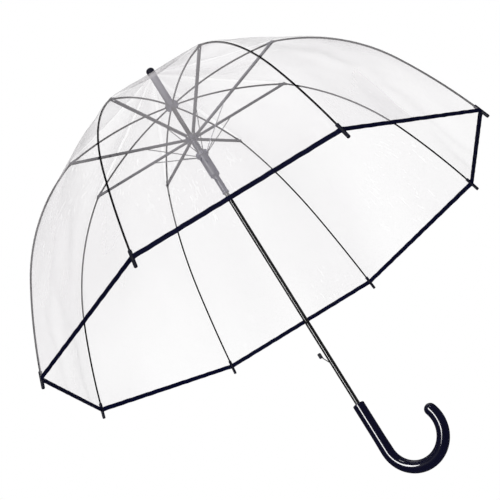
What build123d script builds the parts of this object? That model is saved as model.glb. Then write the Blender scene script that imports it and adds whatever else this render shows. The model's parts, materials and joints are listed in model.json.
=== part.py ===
from build123d import *
import os
from math import atan2, cos, degrees, hypot, radians, sin, tan

os.makedirs("parts", exist_ok=True)

# Clear dome umbrella with eight ribs, stood open with its shaft upright.
# The origin is the middle of the straight grip, +Z runs up the shaft to the
# tip, and +X is the side that the crook of the handle bends to.

# Overall layout, in millimetres
rib_count = 8
dome_radius = 420.0             # hem corners, on the ribs' centre line
hem_height = 299.0
shaft_top = 740.0
notch_pivot_height = 659.0      # where the ribs hang from the top notch
runner_pivot_height = 585.0     # where the stretchers push from the runner
pivot_ring_radius = 10.0        # tie wires of the notch and of the runner
joint_radius = 213.6            # where a stretcher meets its rib

# Shaft
shaft_radius = 4.0
shaft_wall = 0.8
shaft_insertion = 32.0          # length of tube inside the grip

# Handle
grip_length = 86.0
grip_radius = 9.7
crook_tube_radius = 10.1
crook_radius = 49.0
crook_angle = 199.0
grip_taper_length = 12.0
grip_top_fillet = 1.8

# Ribs
rib_radius = 1.5
upper_rib_bow = 9.0             # height of the arc above its chord
lower_rib_start_slope = 30.6    # degrees below level, at the joint
hem_slope = 74.7                # degrees below level, at the hem
shoulder_share = 1.5            # length of the shoulder arc's tangent to the side's
eye_radius = 2.1
upper_eye_width = 2.4
tie_wire_radius = 0.6
pin_radius = 0.8
running_gap = 0.05
fork_length = 5.0               # flat part of the lower rib, at the joint
fork_root_gap = 0.5             # round the tab's eye, at the bottom of the fork

# Rib joint: a tab between the two prongs of the lower rib, and the
# stretcher's two cheeks outside those
tab_width = 1.6
side_gap = 0.1
clamp_length = 9.0              # from the joint's pin to the clamp's far end
clamp_wall = 0.25
clamp_grip_share = 0.55         # of that length, closed round the rod
clamp_rise = 0.6                # clamp above the straight line to its rod
joint_pin_end = 0.3             # how far the pin stands out of a cheek

# Stretcher, a folded channel that opens downwards
cheek_width = 0.6
channel_height = 3.2
channel_wall = 0.6
web_setback_joint = 10.0        # web ends this far short of the rib joint
web_setback_runner = 5.0
link_distance = 79.0            # from the runner's pivot to the push rod's pivot

# Push rods and spring runner
push_rod_radius = 0.75
push_rod_end_fillet = 0.4
push_rod_boss_radius = 0.95     # round its cross pin
push_rod_boss_width = 1.9
cross_pin_end = 0.2             # how far a cross pin stands out of a cheek
link_end_radius = 10.6
spring_runner_drop = 36.0       # from the runner's pivots down to the rod ends
spring_runner_body_radius = 8.6
spring_runner_body_length = 53.0
spring_runner_sleeve_radius = 5.35
spring_runner_sleeve_length = 34.0
collar_radius = 11.4
collar_height = 6.0
collar_slot_width = 2.2         # for the push rods' inner ends
sleeve_lip_radius = 6.05
sleeve_lip_height = 1.6
runner_cone_height = 4.0
spring_well_radius = 6.7
spring_well_depth = 8.0
spring_runner_travel = 24.0     # room to slide up over the main runner's neck

# Main runner
runner_crown_radius = 12.2
runner_crown_height = 7.6
runner_slot_gap = 0.2           # each side of a stretcher's cheeks
runner_neck_radius = 5.0
runner_neck_length = 54.0
slide_gap = 0.12
slot_floor_radius = 7.6         # bottom of the slots in both crowns
crown_fillet = 0.6

# Spring between the two runners
spring_wire_radius = 0.55
spring_mean_radius = 5.8
spring_turns = 8

# Top notch and ferrule cap
notch_crown_radius = 12.2
notch_crown_height = 7.6
notch_slot_gap = 0.5            # each side of a rib's eye
notch_sleeve_radius = 6.75
film_clamp_height = 728.0       # underside of the film where the cap grips it
cap_radius = 7.5
cap_height = 16.0
cap_dome_radius = 5.0

# Tips
tip_length = 28.0
tip_overlap = 11.0              # how far a tip reaches back over its rib
tip_radius = 2.85
tip_nose_radius = 1.3
tip_taper = 0.4                 # degrees

# Film and hem tape
film_thickness = 0.6
film_standoff = 3.5             # from a rib's centre line to the film's inside
film_crown_radius = 8.5
film_hole_radius = 4.4
hem_width = 7.0
hem_tape_thickness = 1.2
film_gap = 0.3                  # film to cap, to notch sleeve and to hem tape

# Release catch, on the side away from the crook
catch_pivot_height = 114.0
catch_button_height = 141.0
catch_button_offset = 12.0
catch_button_length = 9.0
catch_button_depth = 4.4
catch_button_width = 5.0
catch_button_corner = 1.6
catch_button_fillet = 1.0
catch_strip_width = 2.8
catch_strip_thickness = 0.9
catch_strip_rise = 6.0          # steep first length of the strip, off its pin
catch_strip_lean = 1.2
catch_pivot_offset = 0.6
catch_eye_wall = 0.7
catch_slot_top = 152.0
catch_slot_bottom = 108.0
catch_slot_width = 3.4

# Linkage worked out from the layout. A rib and its stretcher are equal in
# length, so the runner's pivots stay under the notch's pivots as it folds.
joint_height = (notch_pivot_height + runner_pivot_height) / 2
link_reach = joint_radius - pivot_ring_radius
link_drop = notch_pivot_height - joint_height
link_length = hypot(link_reach, link_drop)
link_slope = degrees(atan2(link_drop, link_reach))
clamp_half_width = rib_radius + clamp_wall
prong_inner = tab_width / 2 + side_gap
prong_outer = clamp_half_width + running_gap - side_gap
cheek_inner = prong_outer + side_gap
cheek_outer = cheek_inner + cheek_width
spring_runner_height = runner_pivot_height - spring_runner_drop


def rib_plane(number):
    """Upright plane of one rib: x runs outwards from the shaft, y up."""
    angle = radians(360 / rib_count * (number - 1))
    return Plane(
        origin=(0, 0, 0),
        x_dir=(cos(angle), sin(angle), 0),
        z_dir=(sin(angle), -cos(angle), 0),
    )


def along(start, slope, distance):
    """Point at a distance from start, on a line that drops by slope degrees."""
    return (
        start[0] + distance * cos(radians(slope)),
        start[1] - distance * sin(radians(slope)),
    )


def arc_end(start, slope, radius, turn):
    """End of an arc that starts at a slope and steepens by turn degrees."""
    return (
        start[0] + radius * (sin(radians(slope + turn)) - sin(radians(slope))),
        start[1] - radius * (cos(radians(slope)) - cos(radians(slope + turn))),
    )


joint = (joint_radius, joint_height)
notch_pivot = (pivot_ring_radius, notch_pivot_height)
runner_pivot = (pivot_ring_radius, runner_pivot_height)
link_pivot = along(runner_pivot, -link_slope, link_distance)
link_end = (link_end_radius, spring_runner_height)

hem_corner = (dome_radius, hem_height)


def tangent_length(start, start_slope, end, end_slope, share):
    """Tangent of the second of two arcs that join start to end smoothly."""
    across, down = end[0] - start[0], start[1] - end[1]
    turn = radians(end_slope - start_slope)
    tangents = across * (share * cos(radians(start_slope)) + cos(radians(end_slope)))
    tangents += down * (share * sin(radians(start_slope)) + sin(radians(end_slope)))
    spread = 2 * share * (1 - cos(turn))
    chord = across**2 + down**2
    return ((tangents**2 + spread * chord) ** 0.5 - tangents) / spread


# The lower rib drops from the joint in a shoulder arc and a flatter side arc,
# which meet where the straight line between their tangents' ends is shared out
side_tangent = tangent_length(
    joint, lower_rib_start_slope, hem_corner, hem_slope, shoulder_share
)
shoulder_tangent = shoulder_share * side_tangent
upper_knee = along(joint, lower_rib_start_slope, shoulder_tangent)
lower_knee = along(hem_corner, hem_slope, -side_tangent)
side_slope = degrees(
    atan2(upper_knee[1] - lower_knee[1], lower_knee[0] - upper_knee[0])
)
shoulder_turn = side_slope - lower_rib_start_slope
side_turn = hem_slope - side_slope
shoulder_radius = shoulder_tangent / tan(radians(shoulder_turn / 2))
side_radius = side_tangent / tan(radians(side_turn / 2))
shoulder_end = along(upper_knee, side_slope, shoulder_tangent)


def save(part, name):
    """Label a finished piece and write it under its node's name."""
    part.part.label = name
    export_step(part.part, f"parts/{name}.step")


def tie_wire(height, radius):
    """Octagonal ring of wire that threads the eyes round a crown."""
    corner_radius = pivot_ring_radius / cos(radians(180 / rib_count))
    corner_angles = [radians(360 / rib_count * (k + 0.5)) for k in range(rib_count)]
    corners = [(corner_radius * cos(a), corner_radius * sin(a)) for a in corner_angles]
    with BuildPart() as ring:
        with BuildLine(Plane.XY.offset(height)) as path:
            Polyline(*corners, close=True)
        with BuildSketch(Plane(origin=(pivot_ring_radius, 0, height), z_dir=(0, 1, 0))):
            Circle(radius)
        sweep(path=path.wire(), transition=Transition.RIGHT)
    return ring


def crown(height, radius, thickness, slot_width):
    """Toothed crown with one slot for each rib, bored for its tie wire."""
    with BuildPart() as body:
        with BuildSketch(Plane.XY.offset(height - thickness / 2)):
            Circle(radius)
        extrude(amount=thickness)
        fillet(body.edges().filter_by(GeomType.CIRCLE), crown_fillet)
        with BuildSketch(Plane.XY.offset(height - thickness / 2)):
            with PolarLocations(slot_floor_radius + radius / 2, rib_count):
                Rectangle(radius, slot_width)
        extrude(amount=thickness, mode=Mode.SUBTRACT)
        add(tie_wire(height, tie_wire_radius + running_gap).part, mode=Mode.SUBTRACT)
    return body


def make_shaft():
    """Steel tube from inside the grip to inside the ferrule cap."""
    bottom = grip_length / 2 - shaft_insertion
    with BuildPart() as shaft_tube:
        with BuildSketch(Plane.XY.offset(bottom)):
            Circle(shaft_radius)
            Circle(shaft_radius - shaft_wall, mode=Mode.SUBTRACT)
        extrude(amount=shaft_top - bottom)
        with BuildSketch(Plane.YZ):
            with Locations((0, (catch_slot_top + catch_slot_bottom) / 2)):
                SlotOverall(
                    catch_slot_top - catch_slot_bottom, catch_slot_width, rotation=90
                )
        extrude(amount=-2 * shaft_radius, mode=Mode.SUBTRACT)
        with BuildSketch(Plane.XZ):
            with Locations((0, catch_pivot_height)):
                Circle(pin_radius + running_gap)
        extrude(amount=2 * shaft_radius, both=True, mode=Mode.SUBTRACT)
    save(shaft_tube, "shaft_tube")


def make_handle():
    """Straight grip that runs on into a round crook with a domed end."""
    half = grip_length / 2
    end_angle = radians(crook_angle - 180)
    crook_end = (
        crook_radius + crook_radius * cos(end_angle),
        0,
        -half + crook_radius * sin(end_angle),
    )
    with BuildPart() as handle:
        with BuildSketch(Plane.XZ):
            with BuildLine():
                Polyline(
                    (0, -half),
                    (crook_tube_radius, -half),
                    (grip_radius, -half + grip_taper_length),
                    (grip_radius, half),
                    (0, half),
                    close=True,
                )
            make_face()
        revolve(axis=Axis.Z)
        with BuildLine(Plane.XZ) as bend:
            CenterArc((crook_radius, -half), crook_radius, 180, crook_angle)
        with BuildSketch(Plane.XY.offset(-half)):
            Circle(crook_tube_radius)
        sweep(path=bend.line)
        with Locations(crook_end):
            Sphere(crook_tube_radius)
        fillet(handle.edges().group_by(Axis.Z)[-1], grip_top_fillet)
        with BuildSketch(Plane.XY.offset(half - shaft_insertion)):
            Circle(shaft_radius)
        extrude(amount=shaft_insertion, mode=Mode.SUBTRACT)
    save(handle, "handle")


def make_ferrule_cap():
    """Domed cap that clamps the film on the end of the shaft."""
    base = film_clamp_height + film_thickness + film_gap
    with BuildPart() as ferrule_cap:
        with BuildSketch(Plane.XY.offset(base)):
            Circle(cap_radius)
        extrude(amount=cap_height)
        fillet(ferrule_cap.edges().group_by(Axis.Z)[-1], cap_dome_radius)
        with BuildSketch(Plane.XY.offset(base)):
            Circle(shaft_radius)
        extrude(amount=shaft_top - base, mode=Mode.SUBTRACT)
    save(ferrule_cap, "ferrule_cap")


def make_top_notch():
    """Fixed crown that the ribs hang from, with its sleeve up to the film."""
    sleeve_bottom = notch_pivot_height + notch_crown_height / 2
    bore_bottom = notch_pivot_height - notch_crown_height
    body = crown(
        notch_pivot_height,
        notch_crown_radius,
        notch_crown_height,
        upper_eye_width + 2 * notch_slot_gap,
    )
    with BuildPart() as top_notch:
        add(body.part)
        with BuildSketch(Plane.XY.offset(sleeve_bottom)):
            Circle(notch_sleeve_radius)
        extrude(amount=film_clamp_height - film_gap - sleeve_bottom)
        with BuildSketch(Plane.XY.offset(bore_bottom)):
            Circle(shaft_radius)
        extrude(amount=film_clamp_height - bore_bottom, mode=Mode.SUBTRACT)
    save(top_notch, "top_notch")
    save(tie_wire(notch_pivot_height, tie_wire_radius), "notch_wire")


def make_main_runner():
    """Sliding crown that carries the stretchers, with a long inner neck."""
    crown_bottom = runner_pivot_height - runner_crown_height / 2
    neck_bottom = crown_bottom - runner_neck_length
    body = crown(
        runner_pivot_height,
        runner_crown_radius,
        runner_crown_height,
        2 * (cheek_outer + runner_slot_gap),
    )
    with BuildPart() as main_runner:
        add(body.part)
        with BuildSketch(Plane.XY.offset(neck_bottom)):
            Circle(runner_neck_radius)
        extrude(amount=runner_neck_length)
        with BuildSketch(Plane.XY.offset(neck_bottom)):
            Circle(shaft_radius + slide_gap)
        extrude(amount=runner_neck_length + runner_crown_height, mode=Mode.SUBTRACT)
    save(main_runner, "main_runner")
    save(tie_wire(runner_pivot_height, tie_wire_radius), "runner_wire")


def make_spring_runner():
    """Lower runner: slotted collar, thick body and thin sleeve in one."""
    collar_top = spring_runner_height + collar_height / 2
    body_bottom = collar_top - spring_runner_body_length
    sleeve_bottom = body_bottom - spring_runner_sleeve_length
    crown_bottom = runner_pivot_height - runner_crown_height / 2
    neck_stop = crown_bottom - runner_neck_length - spring_runner_travel
    with BuildPart() as spring_runner:
        with BuildSketch(Plane.XZ):
            with BuildLine():
                Polyline(
                    (shaft_radius + slide_gap, sleeve_bottom),
                    (sleeve_lip_radius, sleeve_bottom),
                    (sleeve_lip_radius, sleeve_bottom + sleeve_lip_height),
                    (spring_runner_sleeve_radius, sleeve_bottom + runner_cone_height),
                    (spring_runner_sleeve_radius, body_bottom),
                    (spring_runner_body_radius, body_bottom + runner_cone_height),
                    (spring_runner_body_radius, collar_top - collar_height),
                    (collar_radius, collar_top - collar_height),
                    (collar_radius, collar_top),
                    (spring_well_radius, collar_top),
                    (spring_well_radius, collar_top - spring_well_depth),
                    (runner_neck_radius + slide_gap, collar_top - spring_well_depth),
                    (runner_neck_radius + slide_gap, neck_stop),
                    (shaft_radius + slide_gap, neck_stop),
                    close=True,
                )
            make_face()
        revolve(axis=Axis.Z)
        with BuildSketch(Plane.XY.offset(collar_top - collar_height)):
            with PolarLocations(spring_runner_body_radius + collar_radius / 2, rib_count):
                Rectangle(collar_radius, collar_slot_width)
        extrude(amount=collar_height, mode=Mode.SUBTRACT)
    save(spring_runner, "spring_runner")


def make_opening_spring():
    """Compression spring between the two runners, round the runner's neck."""
    end_gap = spring_wire_radius + running_gap
    top = runner_pivot_height - runner_crown_height / 2 - end_gap
    bottom = spring_runner_height + collar_height / 2 - spring_well_depth + end_gap
    length = top - bottom
    with BuildPart() as opening_spring:
        with BuildLine() as coil:
            Helix(
                pitch=length / spring_turns,
                height=length,
                radius=spring_mean_radius,
                center=(0, 0, bottom),
            )
        with BuildSketch(Plane(origin=coil.line @ 0, z_dir=coil.line % 0)):
            Circle(spring_wire_radius)
        sweep(path=coil.line, is_frenet=True)
    save(opening_spring, "opening_spring")


def make_upper_rib(number):
    """Bowed rod from its eye on the notch to the clamp of its joint."""
    plane = rib_plane(number)
    start = along(notch_pivot, link_slope, eye_radius * 0.6)
    end = along(joint, link_slope, -clamp_length * (1 - clamp_grip_share))
    middle = (
        (start[0] + end[0]) / 2 + upper_rib_bow * sin(radians(link_slope)),
        (start[1] + end[1]) / 2 + upper_rib_bow * cos(radians(link_slope)),
    )
    with BuildPart() as upper_rib:
        with BuildLine(plane) as rod:
            ThreePointArc(start, middle, end)
        with BuildSketch(Plane(origin=rod.line @ 0, z_dir=rod.line % 0)):
            Circle(rib_radius)
        sweep(path=rod.line)
        with BuildSketch(plane):
            with Locations(notch_pivot):
                Circle(eye_radius)
        extrude(amount=upper_eye_width / 2, both=True)
        with BuildSketch(plane):
            with Locations(notch_pivot):
                Circle(tie_wire_radius + running_gap)
        extrude(amount=upper_eye_width, both=True, mode=Mode.SUBTRACT)
    save(upper_rib, f"upper_rib_{number}")
    return upper_rib


def make_rib_joint(number, upper_rib):
    """Clamp on the upper rib's end, its tab and the pin through the joint."""
    plane = rib_plane(number)
    clamp_end = along(joint, link_slope, -clamp_length)
    clamp_turn = -link_slope - degrees(2 * atan2(2 * upper_rib_bow, link_length))
    tab_start = along(joint, link_slope, -clamp_length * 0.7)
    clamp_middle = (
        (tab_start[0] + clamp_end[0]) / 2,
        (tab_start[1] + clamp_end[1]) / 2 + clamp_rise,
    )
    with BuildPart() as rib_joint:
        with BuildSketch(plane):
            with Locations(joint):
                Circle(eye_radius)
            with BuildLine():
                Polyline(
                    along(joint, link_slope - 90, eye_radius * 0.98),
                    along(tab_start, link_slope - 90, eye_radius * 1.2),
                    along(tab_start, link_slope + 90, eye_radius * 0.5),
                    along(joint, link_slope + 90, eye_radius * 0.98),
                    close=True,
                )
            make_face()
        extrude(amount=tab_width / 2, both=True)
        with BuildSketch(plane):
            with Locations(Location((*clamp_middle, 0), clamp_turn)):
                Rectangle(clamp_length * clamp_grip_share, 2 * clamp_half_width)
        extrude(amount=clamp_half_width, both=True)
        with BuildSketch(plane):
            with Locations(joint):
                Circle(pin_radius)
        extrude(amount=cheek_outer + joint_pin_end, both=True)
        add(upper_rib.part, mode=Mode.SUBTRACT)
    save(rib_joint, f"rib_joint_{number}")


def make_lower_rib(number):
    """Rod from its forked end at the joint, over the shoulder to the hem."""
    plane = rib_plane(number)
    fork_angle = degrees(2 * atan2(fork_length / 2, shoulder_radius))
    rod_start = arc_end(joint, lower_rib_start_slope, shoulder_radius, fork_angle)
    rod_slope = lower_rib_start_slope + fork_angle
    with BuildPart() as lower_rib:
        with BuildLine(plane) as rod:
            JernArc(
                rod_start,
                (cos(radians(rod_slope)), -sin(radians(rod_slope))),
                shoulder_radius,
                fork_angle - shoulder_turn,
            )
            JernArc(
                shoulder_end,
                (cos(radians(side_slope)), -sin(radians(side_slope))),
                side_radius,
                -side_turn,
            )
        with BuildSketch(Plane(origin=rod.wire() @ 0, z_dir=rod.wire() % 0)):
            Circle(rib_radius)
        sweep(path=rod.wire())
        with BuildSketch(plane):
            with Locations(joint):
                Circle(eye_radius)
            with BuildLine():
                Polyline(
                    along(joint, lower_rib_start_slope - 90, rib_radius),
                    along(rod_start, rod_slope - 90, rib_radius),
                    along(rod_start, rod_slope + 90, rib_radius),
                    along(joint, lower_rib_start_slope + 90, rib_radius),
                    close=True,
                )
            make_face()
        extrude(amount=prong_outer, both=True)
        with BuildSketch(plane):
            with Locations(joint):
                Circle(eye_radius + fork_root_gap)
        extrude(amount=prong_inner, both=True, mode=Mode.SUBTRACT)
        with BuildSketch(plane):
            with Locations(joint):
                Circle(pin_radius + running_gap)
        extrude(amount=2 * prong_outer, both=True, mode=Mode.SUBTRACT)
    save(lower_rib, f"lower_rib_{number}")
    return lower_rib


def make_rib_tip(number, lower_rib):
    """Moulded tip pushed over the rib's end, past the hem."""
    plane = rib_plane(number)
    back = along(hem_corner, hem_slope, -tip_overlap)
    nose = along(hem_corner, hem_slope, tip_length - tip_overlap)
    with BuildPart() as rib_tip:
        with BuildLine(plane, mode=Mode.PRIVATE) as spine:
            Line(back, nose)
        tip_plane = Plane(origin=spine.line @ 0, z_dir=spine.line % 0)
        with BuildSketch(tip_plane):
            Circle(tip_radius)
        extrude(amount=tip_length, taper=tip_taper)
        nose_face = rib_tip.faces().sort_by(Axis(tip_plane.origin, tip_plane.z_dir))[-1]
        fillet(nose_face.edges(), tip_nose_radius)
        add(lower_rib.part, mode=Mode.SUBTRACT)
    save(rib_tip, f"rib_tip_{number}")


def make_stretcher(number):
    """Folded channel from the runner's tie wire to the rib joint."""
    plane = rib_plane(number)
    slope = -link_slope
    half = channel_height / 2
    with BuildPart() as stretcher:
        with BuildSketch(plane):
            with BuildLine():
                Polyline(
                    along(runner_pivot, slope - 90, half),
                    along(joint, slope - 90, half),
                    along(joint, slope + 90, half),
                    along(runner_pivot, slope + 90, half),
                    close=True,
                )
            make_face()
            with Locations(runner_pivot, joint):
                Circle(eye_radius)
        extrude(amount=cheek_outer, both=True)
        with BuildSketch(plane):
            with BuildLine():
                web_start = along(runner_pivot, slope, web_setback_runner)
                web_end = along(joint, slope, -web_setback_joint)
                before = along(runner_pivot, slope, -2 * eye_radius)
                after = along(joint, slope, 2 * eye_radius)
                roof = half - channel_wall
                Polyline(
                    along(before, slope + 90, 2 * half),
                    along(before, slope - 90, 2 * half),
                    along(web_start, slope - 90, 2 * half),
                    along(web_start, slope - 90, roof),
                    along(web_end, slope - 90, roof),
                    along(web_end, slope - 90, 2 * half),
                    along(after, slope - 90, 2 * half),
                    along(after, slope + 90, 2 * half),
                    close=True,
                )
            make_face()
        extrude(amount=cheek_inner, both=True, mode=Mode.SUBTRACT)
        for pivot, radius in (
            (runner_pivot, tie_wire_radius),
            (joint, pin_radius),
            (link_pivot, tie_wire_radius),
        ):
            with BuildSketch(plane):
                with Locations(pivot):
                    Circle(radius + running_gap)
            extrude(amount=2 * cheek_outer, both=True, mode=Mode.SUBTRACT)
    save(stretcher, f"stretcher_{number}")


def make_push_rod(number):
    """Thin rod from its cross pin in a stretcher to the spring runner."""
    plane = rib_plane(number)
    with BuildPart() as push_rod:
        with BuildLine(plane) as rod:
            Line(link_pivot, link_end)
        with BuildSketch(Plane(origin=rod.line @ 0, z_dir=rod.line % 0)):
            Circle(push_rod_radius)
        sweep(path=rod.line)
        inner_end = push_rod.edges().filter_by(GeomType.CIRCLE).sort_by(Axis.Z)[0]
        fillet(inner_end, push_rod_end_fillet)
        with BuildSketch(plane):
            with Locations(link_pivot):
                Circle(push_rod_boss_radius)
        extrude(amount=push_rod_boss_width / 2, both=True)
        with BuildSketch(plane):
            with Locations(link_pivot):
                Circle(tie_wire_radius)
        extrude(amount=cheek_outer + cross_pin_end, both=True)
    save(push_rod, f"push_rod_{number}")


def dome(offset, top):
    """Closed eight-sided dome that stands off the ribs' centre lines."""
    flat_share = cos(radians(180 / rib_count))
    bottom = hem_height - 2 * hem_width

    def on_flat(point, slope):
        radius, height = along(point, slope - 90, offset)
        return (radius * flat_share, height)

    shoulder_middle = arc_end(
        joint, lower_rib_start_slope, shoulder_radius, shoulder_turn / 2
    )
    side_middle = arc_end(shoulder_end, side_slope, side_radius, side_turn / 2)
    hem_end = along(hem_corner, hem_slope, (hem_height - bottom) / sin(radians(hem_slope)))
    roof_end = on_flat(joint, lower_rib_start_slope)
    shoulder = on_flat(shoulder_middle, lower_rib_start_slope + shoulder_turn / 2)
    side_start = on_flat(shoulder_end, side_slope)
    side = on_flat(side_middle, side_slope + side_turn / 2)
    side_end = on_flat(hem_corner, hem_slope)
    skirt_end = (on_flat(hem_end, hem_slope)[0], bottom)
    crown_edge = film_crown_radius * flat_share
    with BuildPart() as solid:
        for gore in range(rib_count // 2):
            plane = rib_plane(gore + 1.5)
            with BuildSketch(plane):
                with BuildLine():
                    Line((0, bottom), (0, top))
                    Line((0, top), (crown_edge, top))
                    Line((crown_edge, top), roof_end)
                    ThreePointArc(roof_end, shoulder, side_start)
                    ThreePointArc(side_start, side, side_end)
                    Line(side_end, skirt_end)
                    Line(skirt_end, (0, bottom))
                make_face()
                mirror(about=Plane.YZ)
            extrude(
                amount=2 * dome_radius,
                both=True,
                mode=Mode.ADD if gore == 0 else Mode.INTERSECT,
            )
    return solid


def make_canopy():
    """Film stretched over the ribs in eight flat gores, open at the hem."""
    edge = hem_height + hem_width / 2
    outside = dome(film_standoff + film_thickness, film_clamp_height + film_thickness)
    inside = dome(film_standoff, film_clamp_height)
    with BuildPart() as canopy:
        add(outside.part)
        add(inside.part, mode=Mode.SUBTRACT)
        split(bisect_by=Plane.XY.offset(edge), keep=Keep.TOP)
        with BuildSketch(Plane.XY.offset(film_clamp_height - 1)):
            Circle(film_hole_radius)
        extrude(amount=film_thickness + 2, mode=Mode.SUBTRACT)
    save(canopy, "canopy")


def make_hem_binding():
    """Tape round the film's edge, from rib tip to rib tip."""
    low = hem_height - hem_width / 2
    high = hem_height + hem_width / 2 - film_gap
    lean = hem_width / tan(radians(hem_slope)) / 2
    middle = dome_radius + (film_standoff - film_gap) / sin(radians(hem_slope))
    with BuildPart() as hem_binding:
        for layer, mode in ((hem_tape_thickness, Mode.ADD), (0, Mode.SUBTRACT)):
            with BuildSketch(Plane.XY.offset(low)):
                RegularPolygon(middle + lean + layer, rib_count)
            with BuildSketch(Plane.XY.offset(high)):
                RegularPolygon(middle - lean + layer, rib_count)
            loft(mode=mode)
    save(hem_binding, "hem_binding")


def make_release_catch():
    """Sprung strip on its cross pin, with the button that is pressed."""
    pivot = (-catch_pivot_offset, catch_pivot_height)
    button_bottom = catch_button_height - catch_button_length / 2
    face = -catch_button_offset + catch_button_depth / 2
    strip_offset = face + catch_strip_thickness / 2 - running_gap
    strip_top = catch_button_height + catch_button_length / 2 - catch_button_fillet
    with BuildPart() as release_catch:
        with BuildSketch(Plane.XZ):
            with BuildLine() as centre:
                Polyline(
                    pivot,
                    (pivot[0] - catch_strip_lean, pivot[1] + catch_strip_rise),
                    (strip_offset, button_bottom - 2),
                    (strip_offset, strip_top),
                )
            trace(centre.line, line_width=catch_strip_thickness)
            with Locations(pivot):
                Circle(pin_radius + catch_eye_wall)
        extrude(amount=catch_strip_width / 2, both=True)
        with BuildSketch(Plane.XZ):
            with Locations((0, catch_pivot_height)):
                Circle(pin_radius)
        extrude(amount=shaft_radius - shaft_wall / 2, both=True)
        with BuildSketch(Plane.YZ.offset(face - catch_button_depth)):
            with Locations((0, catch_button_height)):
                RectangleRounded(catch_button_width, catch_button_length, catch_button_corner)
        extrude(amount=catch_button_depth)
        fillet(release_catch.faces().sort_by(Axis.X)[0].edges(), catch_button_fillet)
    save(release_catch, "release_catch")


make_shaft()
make_handle()
make_ferrule_cap()
make_top_notch()
make_main_runner()
make_spring_runner()
make_opening_spring()
make_release_catch()
for rib_number in range(1, rib_count + 1):
    rib = make_upper_rib(rib_number)
    make_rib_joint(rib_number, rib)
    rib = make_lower_rib(rib_number)
    make_rib_tip(rib_number, rib)
    make_stretcher(rib_number)
    make_push_rod(rib_number)
make_canopy()
make_hem_binding()
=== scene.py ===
import bpy
import json
import math
import numpy as np
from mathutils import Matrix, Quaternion, Vector


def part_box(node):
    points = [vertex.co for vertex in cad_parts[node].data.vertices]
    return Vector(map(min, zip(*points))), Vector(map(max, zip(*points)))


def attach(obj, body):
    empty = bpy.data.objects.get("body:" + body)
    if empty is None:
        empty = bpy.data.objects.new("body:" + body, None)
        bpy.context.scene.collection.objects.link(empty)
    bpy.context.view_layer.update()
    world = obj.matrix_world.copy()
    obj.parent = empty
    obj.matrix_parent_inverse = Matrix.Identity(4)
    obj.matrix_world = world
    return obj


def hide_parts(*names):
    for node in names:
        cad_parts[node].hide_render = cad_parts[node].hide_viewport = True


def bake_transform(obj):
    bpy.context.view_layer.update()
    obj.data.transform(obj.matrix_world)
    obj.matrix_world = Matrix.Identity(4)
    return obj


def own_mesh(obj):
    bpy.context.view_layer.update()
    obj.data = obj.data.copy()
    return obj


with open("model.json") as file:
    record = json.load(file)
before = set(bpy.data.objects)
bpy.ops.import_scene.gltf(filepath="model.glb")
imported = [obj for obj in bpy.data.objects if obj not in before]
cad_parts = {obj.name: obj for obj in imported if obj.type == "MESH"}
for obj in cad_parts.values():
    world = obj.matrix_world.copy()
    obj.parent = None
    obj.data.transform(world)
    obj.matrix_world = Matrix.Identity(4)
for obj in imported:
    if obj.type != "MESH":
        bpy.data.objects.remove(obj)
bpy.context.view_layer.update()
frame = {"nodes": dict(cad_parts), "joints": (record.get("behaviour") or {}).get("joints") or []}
nodes = frame["nodes"]
joints = {j["name"]: j for j in frame["joints"]}
mm = 0.001
ribCount = 8

ribJoint = Vector(joints["rib_1_flex"]["pos_m"])
hemLow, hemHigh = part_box("hem_binding")
print("frame loaded:", len(nodes), "nodes")


# ---- small mesh helpers
def newPiece(name, verts, faces, smooth=True):
    mesh = bpy.data.meshes.new(name)
    mesh.from_pydata([tuple(v) for v in verts], [], faces)
    mesh.update()
    if smooth:
        mesh.polygons.foreach_set("use_smooth", [True] * len(mesh.polygons))
    piece = bpy.data.objects.new(name, mesh)
    bpy.context.scene.collection.objects.link(piece)
    return piece


def gridFaces(rows, cols, closed=False):
    # quads over a grid of points stored row by row
    faces = []
    for i in range(rows - 1):
        for j in range(cols if closed else cols - 1):
            k = (j + 1) % cols
            faces.append((i * cols + j, i * cols + k, (i + 1) * cols + k, (i + 1) * cols + j))
    return faces


def tubeFaces(rings, sides):
    # a closed skin over rings of points, capped at both ends
    faces = gridFaces(rings, sides, closed=True)
    faces.append(tuple(reversed(range(sides))))
    faces.append(tuple((rings - 1) * sides + k for k in range(sides)))
    return faces


# ---- shader helpers
def newMaterial(name):
    material = bpy.data.materials.new(name)
    material.use_nodes = True
    tree = material.node_tree
    tree.nodes.clear()
    out = tree.nodes.new("ShaderNodeOutputMaterial")
    shader = tree.nodes.new("ShaderNodeBsdfPrincipled")
    tree.links.new(shader.outputs["BSDF"], out.inputs["Surface"])
    return material, tree, shader


def addNode(tree, kind, inputs=None, **settings):
    node = tree.nodes.new(kind)
    for key, value in settings.items():
        setattr(node, key, value)
    for key, value in (inputs or {}).items():
        node.inputs[key].default_value = value
    return node


def newGroup(name, inputs, outputs):
    group = bpy.data.node_groups.new(name, "ShaderNodeTree")
    for label, kind, value in inputs:
        socket = group.interface.new_socket(label, in_out="INPUT", socket_type=kind)
        if value is not None:
            socket.default_value = value
    for label, kind in outputs:
        group.interface.new_socket(label, in_out="OUTPUT", socket_type=kind)
    return group, group.nodes.new("NodeGroupInput"), group.nodes.new("NodeGroupOutput")


def placeGroup(tree, group, **values):
    node = tree.nodes.new("ShaderNodeGroup")
    node.node_tree = group
    for key, value in values.items():
        node.inputs[key].default_value = value
    return node


def rangeNode(tree, low, high, outLow, outHigh):
    return addNode(
        tree,
        "ShaderNodeMapRange",
        {"From Min": low, "From Max": high, "To Min": outLow, "To Max": outHigh},
        interpolation_type="SMOOTHSTEP",
    )


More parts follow.
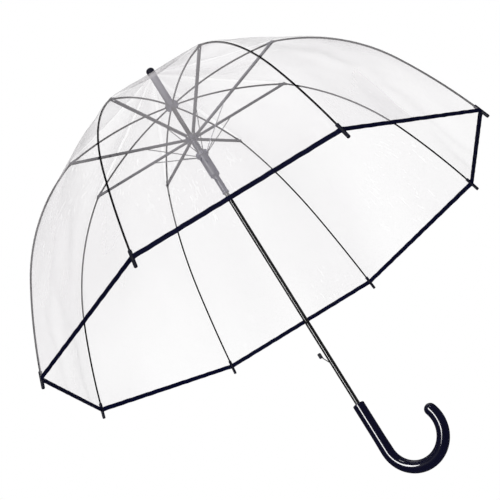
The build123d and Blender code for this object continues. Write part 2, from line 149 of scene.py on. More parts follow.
def makeSurfaceGrain():
    # fine moulded or plated surface: a height for bump and a roughness that wanders
    group, gin, gout = newGroup(
        "surfaceGrain",
        [
            ("Vector", "NodeSocketVector", None),
            ("Grain Size", "NodeSocketFloat", 900.0),
            ("Smudge Size", "NodeSocketFloat", 60.0),
            ("Rough Low", "NodeSocketFloat", 0.2),
            ("Rough High", "NodeSocketFloat", 0.35),
        ],
        [("Height", "NodeSocketFloat"), ("Roughness", "NodeSocketFloat"), ("Smudge", "NodeSocketFloat")],
    )
    link = group.links.new
    grain = addNode(group, "ShaderNodeTexNoise", {"Detail": 3.0, "Roughness": 0.6})
    smudge = addNode(group, "ShaderNodeTexNoise", {"Detail": 4.0, "Roughness": 0.55, "Distortion": 0.6})
    spread = addNode(group, "ShaderNodeMapRange", {"From Min": 0.3, "From Max": 0.7})
    for noise, size in ((grain, "Grain Size"), (smudge, "Smudge Size")):
        link(gin.outputs["Vector"], noise.inputs["Vector"])
        link(gin.outputs[size], noise.inputs["Scale"])
    link(smudge.outputs["Fac"], spread.inputs["Value"])
    link(gin.outputs["Rough Low"], spread.inputs["To Min"])
    link(gin.outputs["Rough High"], spread.inputs["To Max"])
    link(grain.outputs["Fac"], gout.inputs["Height"])
    link(spread.outputs["Result"], gout.inputs["Roughness"])
    link(smudge.outputs["Fac"], gout.inputs["Smudge"])
    return group


def makeRubbedEdges():
    # a mask of the places that rub: convex edges broken up by noise
    group, gin, gout = newGroup(
        "rubbedEdges",
        [
            ("Vector", "NodeSocketVector", None),
            ("Break Size", "NodeSocketFloat", 300.0),
            ("Low", "NodeSocketFloat", 0.53),
            ("High", "NodeSocketFloat", 0.62),
        ],
        [("Mask", "NodeSocketFloat")],
    )
    link = group.links.new
    shape = addNode(group, "ShaderNodeNewGeometry")
    noise = addNode(group, "ShaderNodeTexNoise", {"Detail": 3.0})
    edges = addNode(group, "ShaderNodeMapRange")
    broken = addNode(group, "ShaderNodeMath", operation="MULTIPLY", use_clamp=True)
    link(gin.outputs["Vector"], noise.inputs["Vector"])
    link(gin.outputs["Break Size"], noise.inputs["Scale"])
    link(shape.outputs["Pointiness"], edges.inputs["Value"])
    link(gin.outputs["Low"], edges.inputs["From Min"])
    link(gin.outputs["High"], edges.inputs["From Max"])
    link(edges.outputs["Result"], broken.inputs[0])
    link(noise.outputs["Fac"], broken.inputs[1])
    link(broken.outputs["Value"], gout.inputs["Mask"])
    return group


surfaceGrain = makeSurfaceGrain()
rubbedEdges = makeRubbedEdges()


def makeSolid(name, look):
    # a plain moulded or plated finish with grain, smudges and rubbed edges
    material, tree, shader = newMaterial(name)
    link = tree.links.new
    place = addNode(tree, "ShaderNodeTexCoord")
    grain = placeGroup(
        tree,
        surfaceGrain,
        **{
            "Grain Size": look["grainSize"],
            "Smudge Size": look["smudgeSize"],
            "Rough Low": look["rough"][0],
            "Rough High": look["rough"][1],
        },
    )
    rub = placeGroup(tree, rubbedEdges)
    tone = addNode(tree, "ShaderNodeMix", data_type="RGBA")
    worn = addNode(tree, "ShaderNodeMix", data_type="RGBA")
    bump = addNode(tree, "ShaderNodeBump", {"Strength": look["bump"], "Distance": look["bumpDepth"]})
    link(place.outputs["Object"], grain.inputs["Vector"])
    link(place.outputs["Object"], rub.inputs["Vector"])
    tone.inputs["A"].default_value = (*look["colour"], 1)
    tone.inputs["B"].default_value = (*look["colourTwo"], 1)
    worn.inputs["B"].default_value = (*look["wornColour"], 1)
    link(grain.outputs["Smudge"], tone.inputs["Factor"])
    link(tone.outputs["Result"], worn.inputs["A"])
    link(rub.outputs["Mask"], worn.inputs["Factor"])
    link(worn.outputs["Result"], shader.inputs["Base Color"])
    link(grain.outputs["Roughness"], shader.inputs["Roughness"])
    link(grain.outputs["Height"], bump.inputs["Height"])
    link(bump.outputs["Normal"], shader.inputs["Normal"])
    shader.inputs["Metallic"].default_value = look.get("metal", 0.0)
    shader.inputs["Specular IOR Level"].default_value = look.get("specular", 0.5)
    shader.inputs["Coat Weight"].default_value = look.get("coat", 0.0)
    shader.inputs["Coat Roughness"].default_value = look.get("coatRough", 0.05)
    return material


solidLooks = {
    "navyLacquer": {
        "colour": (0.002, 0.002, 0.012), "colourTwo": (0.004, 0.004, 0.024),
        "wornColour": (0.008, 0.008, 0.036),
        "grainSize": 500.0, "smudgeSize": 30.0, "rough": (0.25, 0.35), "bump": 0.02, "bumpDepth": 0.0001,
        "specular": 0.04, "coat": 1.0, "coatRough": 0.02,
    },
    "blackPlating": {
        "colour": (0.003, 0.003, 0.0035), "colourTwo": (0.006, 0.006, 0.007),
        "wornColour": (0.02, 0.02, 0.02),
        "grainSize": 900.0, "smudgeSize": 40.0, "rough": (0.2, 0.3), "bump": 0.01, "bumpDepth": 0.00005,
        "specular": 0.01, "coat": 0.9, "coatRough": 0.02,
    },
    "ribEnamel": {
        "colour": (0.002, 0.002, 0.003), "colourTwo": (0.004, 0.004, 0.005),
        "wornColour": (0.02, 0.02, 0.024),
        "grainSize": 1500.0, "smudgeSize": 80.0, "rough": (0.35, 0.5), "bump": 0.03, "bumpDepth": 0.00005,
        "specular": 0.02,
    },
    "greyMoulding": {
        "colour": (0.03, 0.03, 0.06), "colourTwo": (0.07, 0.07, 0.12), "wornColour": (0.2, 0.2, 0.27),
        "grainSize": 1400.0, "smudgeSize": 70.0, "rough": (0.28, 0.45), "bump": 0.08, "bumpDepth": 0.0001,
        "specular": 0.55,
    },
    "greySteel": {
        "colour": (0.02, 0.02, 0.03), "colourTwo": (0.045, 0.045, 0.06), "wornColour": (0.12, 0.12, 0.14),
        "grainSize": 1600.0, "smudgeSize": 90.0, "rough": (0.25, 0.4), "bump": 0.05, "bumpDepth": 0.0001,
        "metal": 0.3,
    },
    "springWire": {
        "colour": (0.2, 0.2, 0.22), "colourTwo": (0.32, 0.32, 0.34), "wornColour": (0.5, 0.5, 0.5),
        "grainSize": 2000.0, "smudgeSize": 120.0, "rough": (0.2, 0.35), "bump": 0.03, "bumpDepth": 0.0001,
        "metal": 0.9,
    },
    "tipMoulding": {
        "colour": (0.004, 0.0045, 0.014), "colourTwo": (0.009, 0.0095, 0.024),
        "wornColour": (0.03, 0.03, 0.05),
        "grainSize": 1500.0, "smudgeSize": 90.0, "rough": (0.35, 0.5), "bump": 0.06, "bumpDepth": 0.0001,
        "specular": 0.12,
    },
}
solids = {name: makeSolid(name, look) for name, look in solidLooks.items()}


def makeTapeMaterial():
    # woven polyester tape: fine cross ribs with a satin surface
    look = {
        "colour": (0.001, 0.0012, 0.01),
        "colourTwo": (0.0025, 0.004, 0.036),
        "weave": (900.0, 6.0, 1.0),
        "weaveBump": 0.35,
        "weaveDepth": 0.2 * mm,
        "specular": 0.03,
    }
    material, tree, shader = newMaterial("hemTape")
    link = tree.links.new
    place = addNode(tree, "ShaderNodeTexCoord")
    weave = addNode(tree, "ShaderNodeTexWave", {"Scale": 1.0, "Distortion": 0.4, "Detail": 1.0})
    stretch = addNode(tree, "ShaderNodeMapping", {"Scale": look["weave"]})
    grain = placeGroup(
        tree,
        surfaceGrain,
        **{"Grain Size": 2500.0, "Smudge Size": 60.0, "Rough Low": 0.42, "Rough High": 0.6},
    )
    tone = addNode(tree, "ShaderNodeMix", data_type="RGBA")
    bump = addNode(
        tree, "ShaderNodeBump", {"Strength": look["weaveBump"], "Distance": look["weaveDepth"]}
    )
    link(place.outputs["UV"], stretch.inputs["Vector"])
    link(stretch.outputs["Vector"], weave.inputs["Vector"])
    link(place.outputs["Object"], grain.inputs["Vector"])
    tone.inputs["A"].default_value = (*look["colour"], 1)
    tone.inputs["B"].default_value = (*look["colourTwo"], 1)
    link(grain.outputs["Smudge"], tone.inputs["Factor"])
    link(weave.outputs["Fac"], bump.inputs["Height"])
    link(tone.outputs["Result"], shader.inputs["Base Color"])
    link(grain.outputs["Roughness"], shader.inputs["Roughness"])
    link(bump.outputs["Normal"], shader.inputs["Normal"])
    shader.inputs["Specular IOR Level"].default_value = look["specular"]
    return material


def makeFilmMaterial():
    # clear vinyl: a faint veil with soft haze, cleared in short bright dashes that are painted highlights
    # standing in for glints on creases, denser where it is seen edge on, and clear where it lies on a rib
    look = {
        "clearTint": (1.0, 0.97, 0.985),
        "hazeTint": (0.84, 0.81, 0.83),
        "veil": (0.08, 0.28),
        "hazeScale": (1.1, 1.2, 1.0),
        "hazeShade": (0.4, 0.68),
        "edgeOn": 0.2,
        "contact": (1.8 * mm, 3.8 * mm),   # from a rib's middle: clear, then veiled
        "contactVeil": 0.04,
        # the crease noise drives both the bump and a painted highlight: the veil is cleared in short
        # dashes so the white behind shows like glints
        "creaseAndGlintScale": (34.0, 26.0, 1.0),
        "creaseAndGlintTurn": 0.6,
        "glintEdge": (0.62, 0.67),
        "glintClear": 0.9,
        "glintPatchScale": 3.5,
        "glintPatchEdge": (0.53, 0.62),
        "rippleScale": 14.0,
        "rough": 0.14,
        "specular": 0.3,
    }
    material, tree, shader = newMaterial("clearVinyl")
    link = tree.links.new
    place = addNode(tree, "ShaderNodeTexCoord")
    hazeMap = addNode(tree, "ShaderNodeMapping", {"Scale": look["hazeScale"]})
    haze = addNode(
        tree,
        "ShaderNodeTexNoise",
        {"Scale": 1.0, "Detail": 1.5, "Roughness": 0.45, "Distortion": 0.4},
    )
    veil = rangeNode(tree, 0.3, 0.7, *look["veil"])
    shade = rangeNode(tree, *look["hazeShade"], 0.0, 1.0)
    tint = addNode(tree, "ShaderNodeMix", data_type="RGBA")
    facing = addNode(tree, "ShaderNodeLayerWeight", {"Blend": 0.25})
    edgeOn = addNode(tree, "ShaderNodeMath", operation="MULTIPLY")
    gain = addNode(tree, "ShaderNodeMath", operation="ADD", use_clamp=True)
    gap = addNode(tree, "ShaderNodeAttribute", attribute_name="ribGap")
    contact = rangeNode(tree, *look["contact"], look["contactVeil"], 1.0)
    alpha = addNode(tree, "ShaderNodeMath", operation="MULTIPLY", use_clamp=True)
    creaseAndGlintMap = addNode(
        tree,
        "ShaderNodeMapping",
        {"Scale": look["creaseAndGlintScale"], "Rotation": (0, 0, look["creaseAndGlintTurn"])},
    )
    creaseAndGlintNoise = addNode(
        tree,
        "ShaderNodeTexNoise",
        {"Scale": 1.0, "Detail": 2.0, "Roughness": 0.5, "Distortion": 1.2},
    )
    # painted highlight: where the crease noise peaks inside a patch, the veil is cleared so the bright
    # background shows as white glint dashes
    paintedGlint = rangeNode(tree, *look["glintEdge"], 0.0, look["glintClear"])
    glintPatchNoise = addNode(tree, "ShaderNodeTexNoise", {"Scale": look["glintPatchScale"], "Detail": 1.0})
    glintPatch = rangeNode(tree, *look["glintPatchEdge"], 0.0, 1.0)
    paintedGlintInPatches = addNode(tree, "ShaderNodeMath", operation="MULTIPLY")
    # one minus the painted highlight dashes, which cuts them out of the veil
    clear = addNode(tree, "ShaderNodeMath", operation="SUBTRACT", use_clamp=True)
    cover = addNode(tree, "ShaderNodeMath", operation="MULTIPLY", use_clamp=True)
    ripple = addNode(
        tree,
        "ShaderNodeTexNoise",
        {"Scale": look["rippleScale"], "Detail": 1.0, "Roughness": 0.4},
    )
    rippleBump = addNode(tree, "ShaderNodeBump", {"Strength": 0.2, "Distance": 4 * mm})
    creaseBump = addNode(tree, "ShaderNodeBump", {"Strength": 0.3, "Distance": 1 * mm})
    edgeOn.inputs[1].default_value = look["edgeOn"]
    tint.inputs["A"].default_value = (*look["clearTint"], 1)
    tint.inputs["B"].default_value = (*look["hazeTint"], 1)
    clear.inputs[0].default_value = 1.0
    link(place.outputs["UV"], hazeMap.inputs["Vector"])
    link(hazeMap.outputs["Vector"], haze.inputs["Vector"])
    link(place.outputs["UV"], creaseAndGlintMap.inputs["Vector"])
    link(creaseAndGlintMap.outputs["Vector"], creaseAndGlintNoise.inputs["Vector"])
    link(place.outputs["Object"], ripple.inputs["Vector"])
    link(place.outputs["Object"], glintPatchNoise.inputs["Vector"])
    link(haze.outputs["Fac"], veil.inputs["Value"])
    link(haze.outputs["Fac"], shade.inputs["Value"])
    link(shade.outputs["Result"], tint.inputs["Factor"])
    link(creaseAndGlintNoise.outputs["Fac"], paintedGlint.inputs["Value"])
    link(glintPatchNoise.outputs["Fac"], glintPatch.inputs["Value"])
    link(paintedGlint.outputs["Result"], paintedGlintInPatches.inputs[0])
    link(glintPatch.outputs["Result"], paintedGlintInPatches.inputs[1])
    link(paintedGlintInPatches.outputs["Value"], clear.inputs[1])
    link(facing.outputs["Facing"], edgeOn.inputs[0])
    link(veil.outputs["Result"], gain.inputs[0])
    link(edgeOn.outputs["Value"], gain.inputs[1])
    link(gain.outputs["Value"], cover.inputs[0])
    link(clear.outputs["Value"], cover.inputs[1])
    link(gap.outputs["Fac"], contact.inputs["Value"])
    link(cover.outputs["Value"], alpha.inputs[0])
    link(contact.outputs["Result"], alpha.inputs[1])
    link(ripple.outputs["Fac"], rippleBump.inputs["Height"])
    link(creaseAndGlintNoise.outputs["Fac"], creaseBump.inputs["Height"])
    link(rippleBump.outputs["Normal"], creaseBump.inputs["Normal"])
    link(tint.outputs["Result"], shader.inputs["Base Color"])
    link(alpha.outputs["Value"], shader.inputs["Alpha"])
    link(creaseBump.outputs["Normal"], shader.inputs["Normal"])
    shader.inputs["Roughness"].default_value = look["rough"]
    shader.inputs["Specular IOR Level"].default_value = look["specular"]
    return material


film = makeFilmMaterial()
hemTape = makeTapeMaterial()
print("materials made")


def dressNodes():
    # gives each kind of node in the frame its finish, with smooth round surfaces
    sharpEdge = math.radians(35)
    finishes = {
        "shaft_tube": "blackPlating", "ferrule_cap": "tipMoulding", "top_notch": "greyMoulding",
        "notch_wire": "springWire", "main_runner": "greyMoulding", "runner_wire": "springWire",
        "opening_spring": "springWire", "spring_runner": "greyMoulding", "release_catch": "tipMoulding",
        "upper_rib": "ribEnamel", "lower_rib": "ribEnamel", "rib_joint": "greySteel",
        "stretcher": "greySteel", "push_rod": "springWire", "rib_tip": "tipMoulding",
    }
    for name, node in nodes.items():
        kind = name.rstrip("0123456789").rstrip("_")
        if kind in finishes:
            node.data.materials.clear()
            node.data.materials.append(solids[finishes[kind]])
            node.data.polygons.foreach_set("use_smooth", [True] * len(node.data.polygons))
            node.data.set_sharp_from_angle(angle=sharpEdge)


dressNodes()


# ---- film
filmShape = {
    "cols": 24,            # quads across one gore
    "crownRows": 8,
    "upperRows": 22,
    "lowerRows": 44,
    "crownReach": 60 * mm,
    "seat": 1.7 * mm,      # from the shell's outside down to the film's own place on the ribs
    "growth": 0.003,       # the film is cut this much larger than the frame it hangs on
    "cap": 7 * mm,         # furthest that the simulation may move a point
    "frames": 18,
    "roofSag": 6 * mm,
    "bow": 2.5 * mm,       # the gores' first lean inwards, and how much that varies
    "bowSpread": 1.2 * mm,
    "overRib": 1.09,       # a sheet's width over its rib, as a share of the straight line
}
filmCloth = {
    "quality": 6,
    "mass": 0.15,
    "tension_stiffness": 60,
    "compression_stiffness": 40,
    "shear_stiffness": 20,
    "bending_stiffness": 4,
    "tension_damping": 25,
    "compression_damping": 25,
    "shear_damping": 25,
    "pin_stiffness": 1.0,
}


def filmLine():
    # the film's outer line over rib 1, as (radius, height) from the crown to the hem
    co = np.array([v.co for v in nodes["canopy"].data.vertices])
    near = co[(np.abs(co[:, 1]) < 0.6 * mm) & (co[:, 0] > 4 * mm)][:, [0, 2]]
    outer = [p for p in near if not np.any((near[:, 0] > p[0] + 1e-5) & (near[:, 1] > p[1] + 1e-5))]
    outer = np.array(sorted(outer, key=lambda p: (-p[1], p[0])))
    keep = [0]
    for i in range(1, len(outer)):
        if np.linalg.norm(outer[i] - outer[keep[-1]]) > 1.5 * mm:
            keep.append(i)
    return outer[keep]


def seatOnRibs(line):
    # the film lies on the ribs, so its line is pulled in towards them from the shell's outside
    slope = np.gradient(line, axis=0)
    slope /= np.linalg.norm(slope, axis=1, keepdims=True)
    inward = np.stack([slope[:, 1], -slope[:, 0]], axis=1)
    inward[inward[:, 1] > 0] *= -1
    depth = np.clip((line[:, 0] - 20 * mm) / (120 * mm), 0, 1) * filmShape["seat"]
    return line + inward * depth[:, None]


def rowsAlong(line, count, start, stop):
    # evenly spaced points of a line between two radii
    length = np.concatenate([[0], np.cumsum(np.linalg.norm(np.diff(line, axis=0), axis=1))])
    a, b = np.interp([start, stop], line[:, 0], length)
    at = np.linspace(a, b, count + 1)
    return np.stack([np.interp(at, length, line[:, k]) for k in (0, 1)], axis=1)


line = seatOnRibs(filmLine())
crownStart, hemRadius = line[0, 0], line[-1, 0]
profile = np.concatenate([
    rowsAlong(line, filmShape["crownRows"], crownStart, filmShape["crownReach"])[:-1],
    rowsAlong(line, filmShape["upperRows"], filmShape["crownReach"], ribJoint.x)[:-1],
    rowsAlong(line, filmShape["lowerRows"], ribJoint.x, hemRadius),
])
print("film line", len(line), "points,", len(profile), "rows")


def filmGrid():
    # points of the whole dome: [row, column round the dome]
    cols = filmShape["cols"]
    grid = np.zeros((len(profile), ribCount * cols, 3))
    for gore in range(ribCount):
        a, b = (math.radians(360 / ribCount * (gore + k)) for k in (0, 1))
        for c in range(cols):
            u = c / cols
            x = (1 - u) * math.cos(a) + u * math.cos(b)
            y = (1 - u) * math.sin(a) + u * math.sin(b)
            grid[:, gore * cols + c, 0] = profile[:, 0] * x
            grid[:, gore * cols + c, 1] = profile[:, 0] * y
            grid[:, gore * cols + c, 2] = profile[:, 1]
    return grid


def relaxFilm(grid):
    # the cut film is a little larger than its frame, so it settles into soft buckles between the ribs
    rows, cols = grid.shape[:2]
    rng = np.random.default_rng(7)
    start = grid.copy()
    across = np.abs(np.sin(np.arange(cols) * math.pi / filmShape["cols"]))
    share = np.clip(profile[:, 0] / hemRadius, 0, 1)
    wander = rng.normal(0, 1, (rows, cols))
    for _ in range(6):
        wander = (wander + np.roll(wander, 1, 0) + np.roll(wander, -1, 0) + np.roll(wander, 1, 1)) / 4
    lean = filmShape["bow"] + filmShape["bowSpread"] * wander / wander.std()
    inward = -lean * across[None, :] * share[:, None]
    away = grid.copy()
    away[:, :, 2] = 0
    away /= np.linalg.norm(away, axis=2, keepdims=True) + 1e-9
    start += away * inward[:, :, None]
    roof = np.clip(profile[:, 0] / ribJoint.x, 0, 1)
    roof[int(profile[:, 0].searchsorted(ribJoint.x)):] = 0
    sag = filmShape["roofSag"] * np.sin(math.pi * roof)
    start[:, :, 2] -= sag[:, None] * (0.3 + 0.7 * across)[None, :]
    piece = newPiece("filmSim", start.reshape(-1, 3), gridFaces(rows, cols, closed=True))
    held = piece.vertex_groups.new(name="held")
    fixed = [i * cols + j for i in range(rows) for j in range(cols)
             if j % filmShape["cols"] == 0 or i < 2 or i == rows - 1]
    held.add(fixed, 1.0, "REPLACE")
    cloth = piece.modifiers.new("cloth", "CLOTH")
    settings = cloth.settings
    for key, value in filmCloth.items():
        setattr(settings, key, value)
    settings.shrink_min = -filmShape["growth"]
    settings.vertex_group_mass = "held"
    settings.effector_weights.gravity = 0.0
    cloth.collision_settings.use_collision = False
    scene = bpy.context.scene
    for f in range(1, filmShape["frames"] + 1):
        scene.frame_set(f)
    settled = piece.evaluated_get(bpy.context.evaluated_depsgraph_get())
    co = np.array([v.co for v in settled.data.vertices]).reshape(rows, cols, 3)
    scene.frame_set(1)
    moved = co - grid
    far = np.linalg.norm(moved, axis=2, keepdims=True)
    co = grid + moved * np.minimum(1, filmShape["cap"] / np.maximum(far, 1e-9))
    bpy.data.objects.remove(piece)
    furthest, usual = float(far.max()) / mm, float(np.median(far)) / mm
    print("film settled, furthest", round(furthest, 1), "mm, usual", round(usual, 2), "mm")
    return co


flatFilm = filmGrid()
filmPoints = relaxFilm(flatFilm)


def gridNormals(points):
    # normals of the whole dome, so that neighbouring sheets shade as one
    down = np.gradient(points, axis=0)
    around = (np.roll(points, -1, 1) - np.roll(points, 1, 1)) / 2
    normals = np.cross(around, down)
    normals /= np.linalg.norm(normals, axis=2, keepdims=True) + 1e-12
    outward = np.sign((normals[:, :, :2] * points[:, :, :2]).sum(2) + normals[:, :, 2] * 0.3)
    return normals * outward[:, :, None]


filmNormals = gridNormals(filmPoints)


def quadArea(p):
    a, b, c, d = p[:-1, :-1], p[:-1, 1:], p[1:, 1:], p[1:, :-1]
    first = np.linalg.norm(np.cross(b - a, c - a), axis=2)
    second = np.linalg.norm(np.cross(c - a, d - a), axis=2)
    return float((first + second).sum() / 2)


def filmPiece(name, number, firstRow, lastRow):
    # one rib's share of the film, from the middle of one gore to the middle of the next
    cols = filmShape["cols"]
    half = cols // 2
    centre = (number - 1) * cols
    span = [(centre + k) % (ribCount * cols) for k in range(-half, half + 1)]
    rows = range(firstRow, lastRow + 1)
    points = filmPoints[firstRow:lastRow + 1][:, span]
    flat = flatFilm[firstRow:lastRow + 1][:, span]
    normals = filmNormals[firstRow:lastRow + 1][:, span].reshape(-1, 3)
    piece = newPiece(name, points.reshape(-1, 3), gridFaces(len(rows), len(span)))
    mesh = piece.data
    angle = math.radians(360 / ribCount * (number - 1))
    aside = Vector((-math.sin(angle), math.cos(angle), 0))
    gap = mesh.attributes.new("ribGap", "FLOAT", "POINT")
    gap.data.foreach_set("value", [abs(v.co.dot(aside)) for v in mesh.vertices])
    uv = mesh.uv_layers.new(name="filmMap")
    where = []
    for i in range(len(mesh.vertices)):
        row, col = divmod(i, len(span))
        where.append(((col - half) / cols + number, (firstRow + row) / len(profile)))
    for loop in mesh.loops:
        uv.data[loop.index].uv = where[loop.vertex_index]
    if mesh.polygons[len(mesh.polygons) // 2].normal.dot(Vector(normals[len(normals) // 2])) < 0:
        mesh.flip_normals()
    mesh.normals_split_custom_set_from_vertices([tuple(n) for n in normals])
    mesh.materials.append(film)
    width = float(np.linalg.norm(flat[-1, 0] - flat[-1, -1])) * filmShape["overRib"]
    steps = np.diff(profile[firstRow:lastRow + 1], axis=0)
    length = float(np.linalg.norm(steps, axis=1).sum())
    return piece, aside, (width, length), quadArea(flat)


crownEnd = filmShape["crownRows"]
jointRow = crownEnd + filmShape["upperRows"]
hemRow = len(profile) - 1
for number in range(1, ribCount + 1):
    crown, aside, flat, area = filmPiece(f"film_crown_{number}", number, 0, crownEnd)
    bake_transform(crown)
    for part, firstRow, lastRow in (("upper", crownEnd, jointRow), ("lower", jointRow, hemRow)):
        body = f"{part}_rib_{number}"
        piece, aside, flat, area = filmPiece(f"film_{part}_{number}", number, firstRow, lastRow)
        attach(piece, body)
        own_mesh(piece)
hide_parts("canopy")
print("film pieces made")


# ---- hem tape
tapeShape = {
    "width": 8.0 * mm,
    "thick": 1.9 * mm,
    "steps": 40,           # lengths from corner to mid gore
    "lift": 0.3 * mm,      # how much the tape wanders up and down
    "cornerSwell": 0.55,   # thicker where it is gathered over a tip
    "cornerReach": 0.035,  # how far the gathers go, as a share of half a gore
    "cornerBend": 0.02,
    "cornerCut": 0.6 * mm,
    "sides": 16,
    "mapLength": 0.32,
}


def hemPiece(number):
    # folded tape over the film's edge, from mid gore to mid gore round one corner
    angles = [math.radians(360 / ribCount * (number - 1 + k)) for k in (-1, 0, 1)]
    corners = [Vector((math.cos(a), math.sin(a), 0)) * hemRadius for a in angles]
    height = (hemLow.z + hemHigh.z) / 2
    outward = corners[1].normalized()
    lean = math.atan2(profile[-1, 0] - profile[-4, 0], profile[-4, 1] - profile[-1, 1])
    path, sections = [], []
    steps = tapeShape["steps"]
    for i in range(-steps, steps + 1):
        t = abs(i) / steps / 2
        other = corners[0] if i < 0 else corners[2]
        point = corners[1].lerp(other, t)
        toCorner = abs(i) / steps
        if toCorner < tapeShape["cornerBend"]:
            cut = tapeShape["cornerCut"] * (1 - toCorner / tapeShape["cornerBend"])
            point = corners[1].lerp(other, 0.004) - outward * cut
        wander = math.sin(i * 0.9 + number * 1.7) * math.sin(i * 0.23 + number)
        point = Vector((point.x, point.y, height + tapeShape["lift"] * wander))
        path.append(point)
        gather = math.exp(-(toCorner / tapeShape["cornerReach"]) ** 2)
        swell = 1 + tapeShape["cornerSwell"] * gather
        halfThick = tapeShape["thick"] / 2 * swell
        halfWidth = tapeShape["width"] / 2 * (1 + 0.12 * (swell - 1))
        ring = []
        for k in range(tapeShape["sides"]):
            a = 2 * math.pi * k / tapeShape["sides"]
            x = halfThick * math.copysign(abs(math.cos(a)) ** 0.6, math.cos(a))
            y = halfWidth * math.copysign(abs(math.sin(a)) ** 0.5, math.sin(a))
            leanX = x * math.cos(lean) - y * math.sin(lean)
            leanY = x * math.sin(lean) + y * math.cos(lean)
            ring.append((leanX, leanY))
        sections.append(ring)
    verts = []
    for point, ring in zip(path, sections):
        away = Vector((point.x, point.y, 0)).normalized()
        for x, y in ring:
            verts.append(point + away * x + Vector((0, 0, y)))
    count = len(sections[0])
    piece = newPiece(f"hem_tape_{number}", verts, tubeFaces(len(path), count))
    uv = piece.data.uv_layers.new(name="tapeMap")
    for loop in piece.data.loops:
        row, col = divmod(loop.vertex_index, count)
        uv.data[loop.index].uv = (row / len(path) * tapeShape["mapLength"], col / count)
    piece.data.materials.append(hemTape)
    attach(piece, f"lower_rib_{number}")
    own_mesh(piece)
    return piece


hemPieces = [hemPiece(number) for number in range(1, ribCount + 1)]
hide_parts("hem_binding")

print("hem tape made")


# ---- handle
def makeHandle():
    # lacquered crook: a rounded shoulder, the straight grip, the bend and a domed end
    shape = {
        "sides": 64,
        "grip": 9.7 * mm,
        "crook": 10.1 * mm,
        "end": 9.7 * mm,
        "edge": 1.8 * mm,      # rounding at the top of the grip
        "flare": 25 * mm,      # length in which the grip grows into the crook
        "sweepDeg": 199,
        "slimFrom": 0.6,       # share of the bend after which it slims towards its end
        "steps": (6, 24, 90, 12),
    }
    edgeSteps, gripSteps, bendSteps, domeSteps = shape["steps"]
    low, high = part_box("handle")
    top, tube = high.z, shape["crook"]
    bendRadius = (high.x - tube) / 2
    bendHeight = low.z + tube + bendRadius
    down = Vector((0, 0, -1))
    path, radii, headings = [], [], []
    for k in range(edgeSteps + 1):
        a = math.pi / 2 * k / edgeSteps
        path.append(Vector((0, 0, top - shape["edge"] * (1 - math.cos(a)))))
        radii.append(shape["grip"] - shape["edge"] * (1 - math.sin(a)))
        headings.append(down)
    gripTop = top - shape["edge"]
    for k in range(1, gripSteps + 1):
        z = gripTop - (gripTop - bendHeight) * k / gripSteps
        path.append(Vector((0, 0, z)))
        near = max(0.0, min(1.0, (bendHeight + shape["flare"] - z) / shape["flare"]))
        radii.append(shape["grip"] + (tube - shape["grip"]) * near * near * (3 - 2 * near))
        headings.append(down)
    centre = Vector((bendRadius, 0, bendHeight))
    for k in range(1, bendSteps + 1):
        a = math.pi + math.radians(shape["sweepDeg"]) * k / bendSteps
        path.append(centre + Vector((math.cos(a), 0, math.sin(a))) * bendRadius)
        late = max(0.0, (k / bendSteps - shape["slimFrom"]) / (1 - shape["slimFrom"]))
        radii.append(tube - (tube - shape["end"]) * late * late)
        headings.append(Vector((-math.sin(a), 0, math.cos(a))))
    last = path[-1].copy()
    ahead = (path[-1] - path[-2]).normalized()
    for k in range(1, domeSteps + 1):
        a = math.pi / 2 * k / domeSteps
        path.append(last + ahead * shape["end"] * math.sin(a))
        radii.append(max(shape["end"] * math.cos(a), 0.05 * mm))
        headings.append(ahead)
    count = shape["sides"]
    across = Vector((0, 1, 0))
    verts = []
    for point, radius, heading in zip(path, radii, headings):
        upright = heading.cross(across)
        for k in range(count):
            a = 2 * math.pi * k / count
            verts.append(point + across * radius * math.cos(a) + upright * radius * math.sin(a))
    piece = newPiece("crook_handle", verts, tubeFaces(len(path), count))
    piece.data.materials.append(solids["navyLacquer"])
    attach(piece, "shaft")
    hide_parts("handle")
    return piece


makeHandle()
print("handle made")


# ---- opening spring
def makeSpring():
    # the coil round the main runner's neck, where the lower runner slides up over it; built at its rest
    # length and carried with the runner
    shape = {"turns": 8, "steps": 24, "sides": 10, "wire": 0.55 * mm, "keep": 0.37}
    low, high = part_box("opening_spring")
    wire = shape["wire"]
    radius = (high.x - low.x) / 2 - wire
    bottom, top = low.z + wire, high.z - wire
    count = shape["turns"] * shape["steps"]
    verts = []
    for i in range(count + 1):
        a = 2 * math.pi * i / shape["steps"]
        outward = Vector((math.cos(a), math.sin(a), 0))
        point = outward * radius + Vector((0, 0, bottom + (top - bottom) * i / count))
        for k in range(shape["sides"]):
            b = 2 * math.pi * k / shape["sides"]
            verts.append(point + outward * wire * math.cos(b) + Vector((0, 0, wire * math.sin(b))))
    piece = newPiece("coil_spring", verts, tubeFaces(count + 1, shape["sides"]))
    piece.data.materials.append(solids["springWire"])
    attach(piece, "runner")
    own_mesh(piece)
    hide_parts("opening_spring")


makeSpring()
print("spring made")


# ---- camera, light and floor
def makeCamera():
    look = {
        "place": (0.6013, -1.5883, -0.2231),
        "aim": (-0.0156, -0.0061, 0.3551),
        "rollDeg": -31.82,
        "lens": 77.49,
    }
    data = bpy.data.cameras.new("camera")
    data.lens = look["lens"]
    data.sensor_width = 36
    data.clip_end = 100
    camera = bpy.data.objects.new("camera", data)
    bpy.context.scene.collection.objects.link(camera)
    camera.location = look["place"]
    direction = Vector(look["aim"]) - Vector(look["place"])
    camera.rotation_mode = "QUATERNION"
    roll = Quaternion((0, 0, 1), math.radians(look["rollDeg"]))
    camera.rotation_quaternion = direction.to_track_quat("-Z", "Y") @ roll
    bpy.context.scene.camera = camera
    return camera


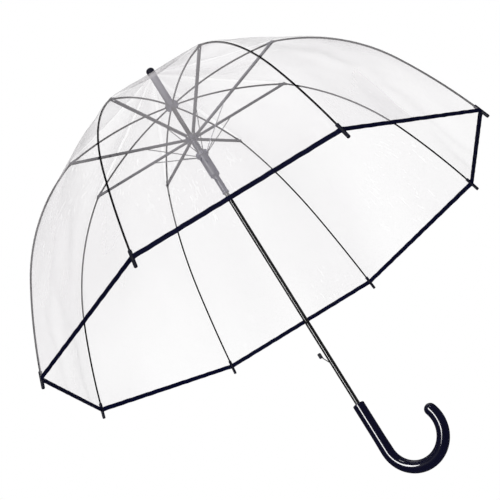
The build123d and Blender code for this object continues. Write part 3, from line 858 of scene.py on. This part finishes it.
def makeSoftbox(name, look):
    data = bpy.data.lights.new(name, "AREA")
    data.shape = "RECTANGLE"
    data.size, data.size_y = look["size"]
    data.energy = look["watts"]
    lamp = bpy.data.objects.new(name, data)
    bpy.context.scene.collection.objects.link(lamp)
    a, e = math.radians(look["azimuth"]), math.radians(look["rise"])
    aim = Vector((0, 0, 0.3))
    towards = Vector((math.cos(a) * math.cos(e), math.sin(a) * math.cos(e), math.sin(e)))
    lamp.location = aim + towards * look["distance"]
    lamp.rotation_mode = "QUATERNION"
    lamp.rotation_quaternion = (aim - lamp.location).to_track_quat("-Z", "Y")
    lamp.visible_diffuse = look["diffuse"]
    lamp.visible_camera = False


softboxes = {
    # the first two only make highlights, so that the film stays evenly lit
    "highlightLeft": {
        "azimuth": -95, "rise": 10, "distance": 2.6, "size": (0.7, 1.7), "watts": 90,
        "diffuse": False,
    },
    "highlightRight": {
        "azimuth": -45, "rise": 38, "distance": 2.8, "size": (0.4, 0.6), "watts": 9,
        "diffuse": False,
    },
    "top": {
        "azimuth": 60, "rise": 70, "distance": 3.0, "size": (2.0, 2.0), "watts": 8,
        "diffuse": True,
    },
}


def makeWorld():
    world = bpy.data.worlds.new("studio")
    world.use_nodes = True
    tree = world.node_tree
    tree.nodes.clear()
    out = addNode(tree, "ShaderNodeOutputWorld")
    seen = addNode(tree, "ShaderNodeBackground", {"Color": (1, 1, 1, 1), "Strength": 1.0})
    lit = addNode(tree, "ShaderNodeBackground", {"Color": (0.995, 0.99, 1, 1), "Strength": 0.93})
    dim = addNode(tree, "ShaderNodeBackground", {"Color": (0.98, 0.98, 1, 1), "Strength": 0.05})
    glossy = addNode(tree, "ShaderNodeMixShader")
    mix = addNode(tree, "ShaderNodeMixShader")
    path = addNode(tree, "ShaderNodeLightPath")
    tree.links.new(path.outputs["Is Glossy Ray"], glossy.inputs["Fac"])
    tree.links.new(lit.outputs["Background"], glossy.inputs[1])
    tree.links.new(dim.outputs["Background"], glossy.inputs[2])
    tree.links.new(path.outputs["Is Camera Ray"], mix.inputs["Fac"])
    tree.links.new(glossy.outputs["Shader"], mix.inputs[1])
    tree.links.new(seen.outputs["Background"], mix.inputs[2])
    tree.links.new(mix.outputs["Shader"], out.inputs["Surface"])
    bpy.context.scene.world = world


def makeFloor():
    half, height = 20, -0.9
    corners = [(-half, -half, height), (half, -half, height), (half, half, height), (-half, half, height)]
    floor = newPiece("floor", corners, [(0, 1, 2, 3)])
    material, tree, shader = newMaterial("paleFloor")
    place = addNode(tree, "ShaderNodeTexCoord")
    noise = addNode(tree, "ShaderNodeTexNoise", {"Scale": 2.0, "Detail": 4.0})
    tone = addNode(tree, "ShaderNodeMix", data_type="RGBA")
    tone.inputs["A"].default_value = (0.86, 0.86, 0.87, 1)
    tone.inputs["B"].default_value = (0.9, 0.9, 0.9, 1)
    tree.links.new(place.outputs["Object"], noise.inputs["Vector"])
    tree.links.new(noise.outputs["Fac"], tone.inputs["Factor"])
    tree.links.new(tone.outputs["Result"], shader.inputs["Base Color"])
    shader.inputs["Roughness"].default_value = 0.9
    floor.data.materials.append(material)
    floor.visible_glossy = False   # keeps the lacquer's reflections dark


makeCamera()
for name, look in softboxes.items():
    makeSoftbox(name, look)
makeWorld()
makeFloor()
bpy.context.scene.view_settings.view_transform = "Standard"
print("camera, lights and floor made")
